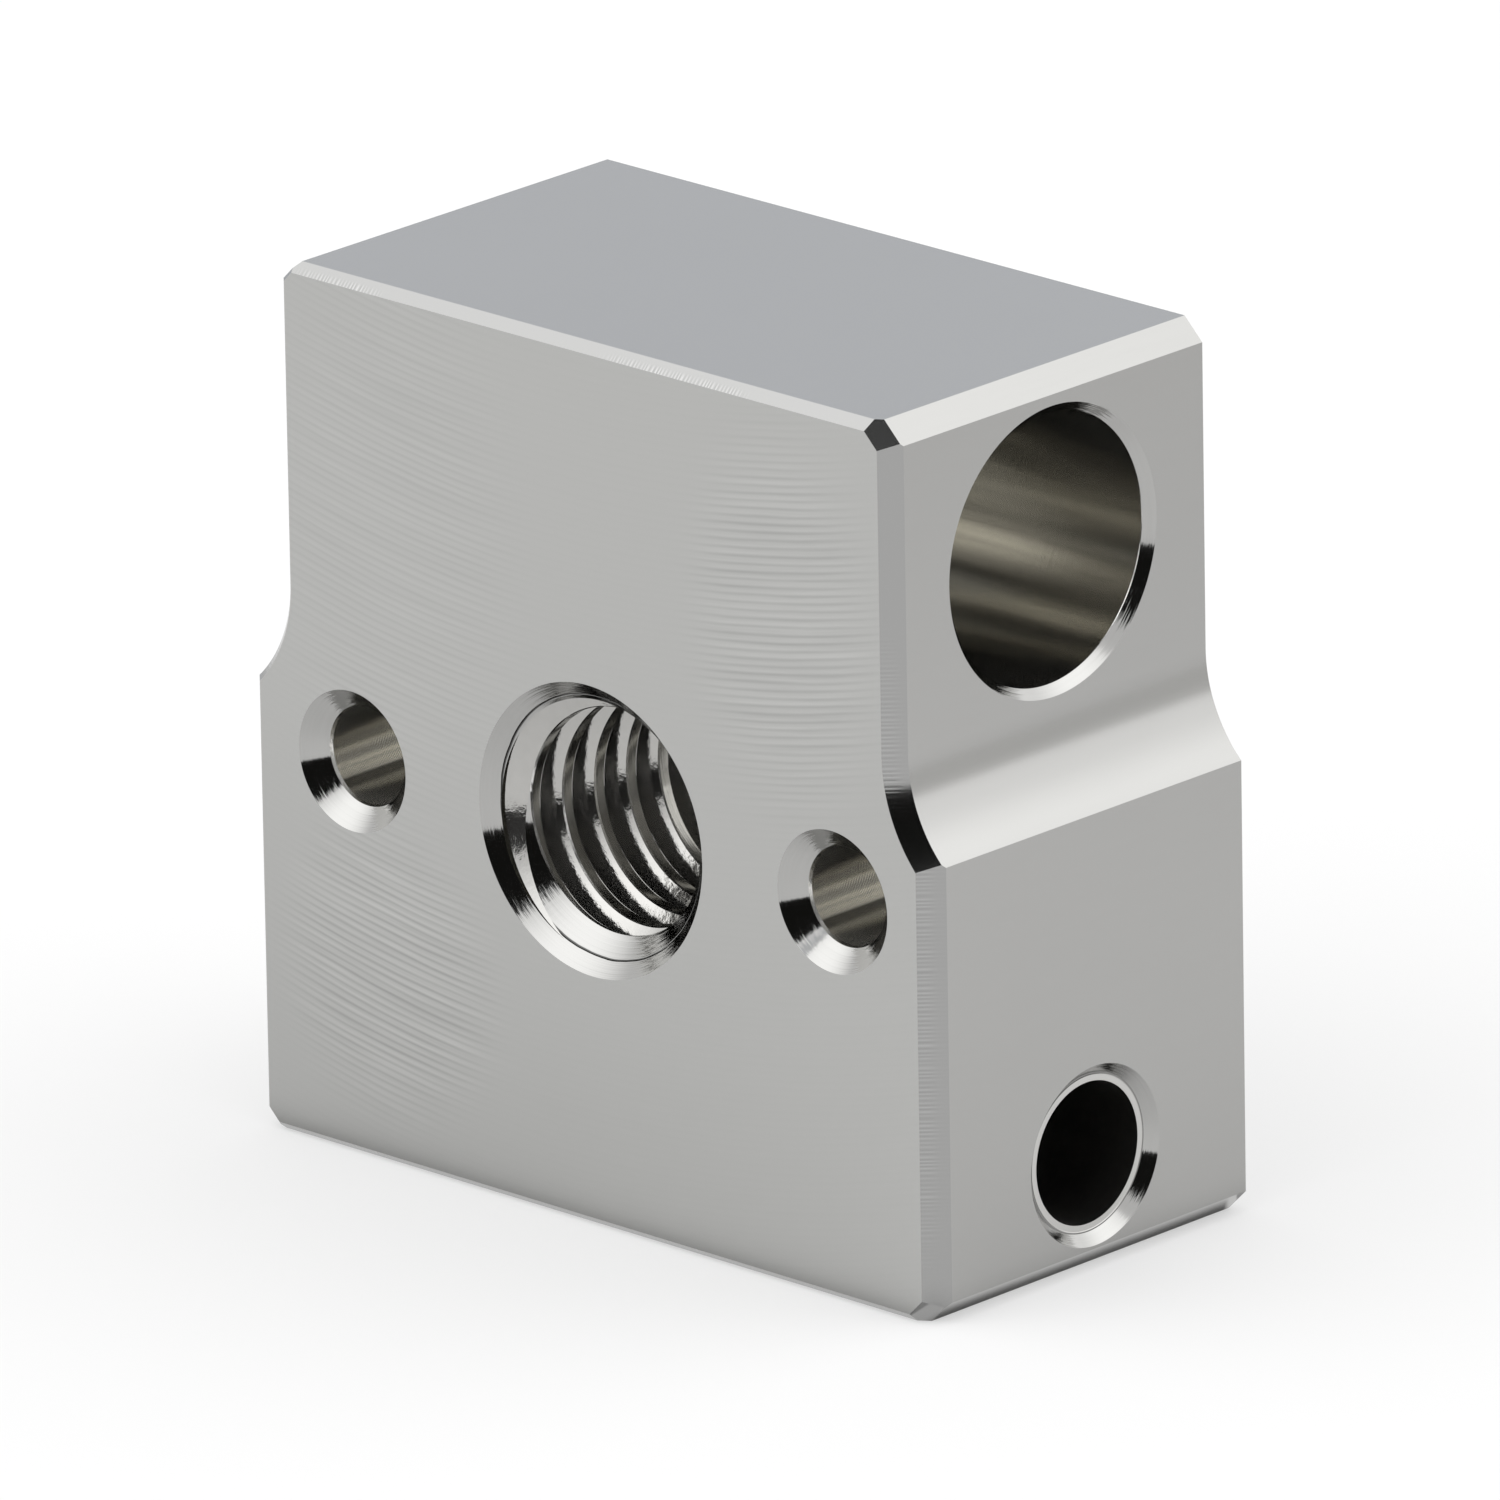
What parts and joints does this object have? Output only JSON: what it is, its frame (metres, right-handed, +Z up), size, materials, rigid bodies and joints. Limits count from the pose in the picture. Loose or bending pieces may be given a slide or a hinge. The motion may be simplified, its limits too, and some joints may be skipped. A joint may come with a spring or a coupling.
{
  "type": "heater block",
  "caption": "Small plated metal block that carries a heating cartridge, a temperature sensor and a screwed-in nozzle, narrowed above a shouldered foot.",
  "frame": {"origin": "middle of the bottom face", "axes": "+Z up the block's height, +X across its width towards the blind sensor bore's mouth, -Y out of the front face that the threaded hole opens in"},
  "size_m": [0.02, 0.01, 0.02],
  "materials": {
    "plated_metal": "satin bright plating over fine milling marks"
  },
  "bodies": {
    "root": {"heater_block": "plated_metal"}
  },
  "joints": []
}
